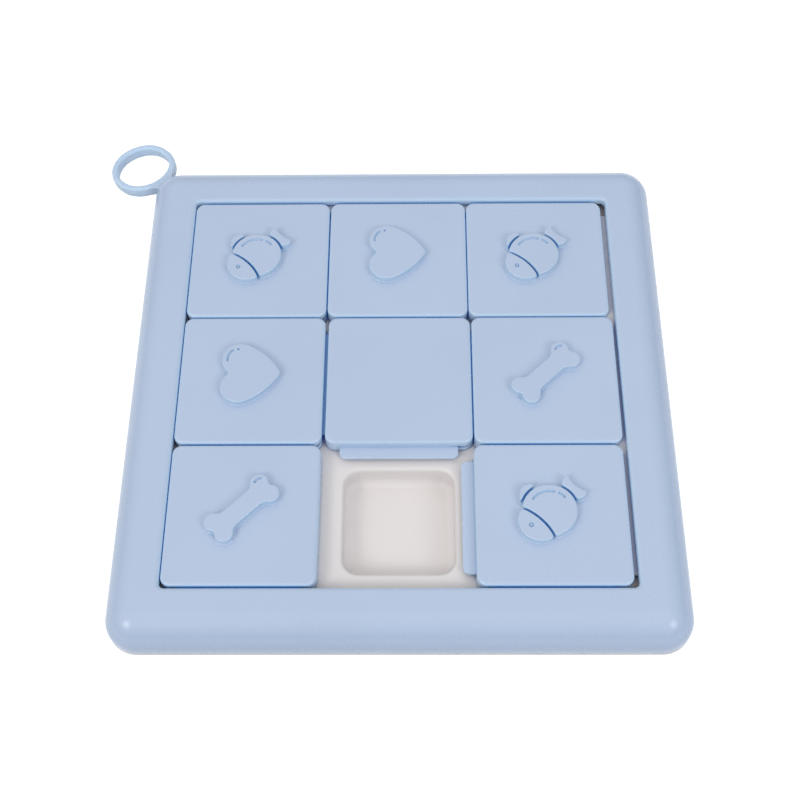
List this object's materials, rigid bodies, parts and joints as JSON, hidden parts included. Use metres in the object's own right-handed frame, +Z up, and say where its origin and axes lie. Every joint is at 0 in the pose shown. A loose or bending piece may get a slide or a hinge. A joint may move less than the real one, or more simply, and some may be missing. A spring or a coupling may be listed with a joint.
{
  "type": "dog puzzle feeder toy",
  "caption": "Square sliding-tile puzzle feeder: a soft-edged frame on a base with food wells, tiles that slide on tongues and grooves, and a soft carrying loop at one corner.",
  "frame": {"origin": "centre of the square body, on the surface that the feet rest on", "axes": "+Z up, out of the tiles' tops; +Y towards the back row of tiles; +X to the right, seen from the front"},
  "size_m": [0.309, 0.309, 0.031],
  "materials": {
    "blue_plastic": "fine satin",
    "white_plastic": "satin",
    "soft_loop": "soft matte",
    "screw_steel": "plated",
    "foot_rubber": "matte"
  },
  "bodies": {
    "feeder": {"base_tray": "white_plastic", "top_frame": "blue_plastic", "right_rail": "white_plastic", "back_rail": "white_plastic", "carry_loop": "soft_loop", "frame_screws": "screw_steel", "rubber_feet": "foot_rubber"},
    "back_left_tile": {"back_left_cap": "blue_plastic", "back_left_slider": "blue_plastic"},
    "back_mid_tile": {"back_mid_cap": "blue_plastic", "back_mid_slider": "blue_plastic"},
    "back_right_tile": {"back_right_cap": "blue_plastic", "back_right_slider": "blue_plastic"},
    "mid_left_tile": {"mid_left_cap": "blue_plastic", "mid_left_slider": "blue_plastic"},
    "centre_tile": {"centre_cap": "blue_plastic", "centre_slider": "blue_plastic"},
    "mid_right_tile": {"mid_right_cap": "blue_plastic", "mid_right_slider": "blue_plastic"},
    "front_left_tile": {"front_left_cap": "blue_plastic", "front_left_slider": "blue_plastic"},
    "front_right_tile": {"front_right_cap": "blue_plastic", "front_right_slider": "blue_plastic"}
  },
  "joints": [
    {"name": "centre_slide", "type": "slide", "parent": "feeder", "child": "centre_tile", "axis": [0, -1, 0], "range_m": [0, 0.0758]},
    {"name": "front_right_slide", "type": "slide", "parent": "feeder", "child": "front_right_tile", "axis": [1, 0, 0], "range_m": [-0.0758, 0.002]},
    {"name": "front_left_play", "type": "slide", "parent": "feeder", "child": "front_left_tile", "axis": [1, 0, 0], "range_m": [-0.0002, 0.0003]},
    {"name": "back_right_play", "type": "slide", "parent": "feeder", "child": "back_right_tile", "axis": [1, 0, 0], "range_m": [-0.0003, 0.0028]},
    {"name": "mid_left_play", "type": "slide", "parent": "feeder", "child": "mid_left_tile", "axis": [1, 0, 0], "range_m": [-0.0002, 0.0014]},
    {"name": "mid_right_play", "type": "slide", "parent": "feeder", "child": "mid_right_tile", "axis": [1, 0, 0], "range_m": [-0.0005, 0.0016]},
    {"name": "back_left_play", "type": "slide", "parent": "feeder", "child": "back_left_tile", "axis": [0, -1, 0], "range_m": [-0.0011, 0.0006]},
    {"name": "back_mid_play", "type": "slide", "parent": "feeder", "child": "back_mid_tile", "axis": [0, -1, 0], "range_m": [-0.0011, 0.0006]}
  ]
}
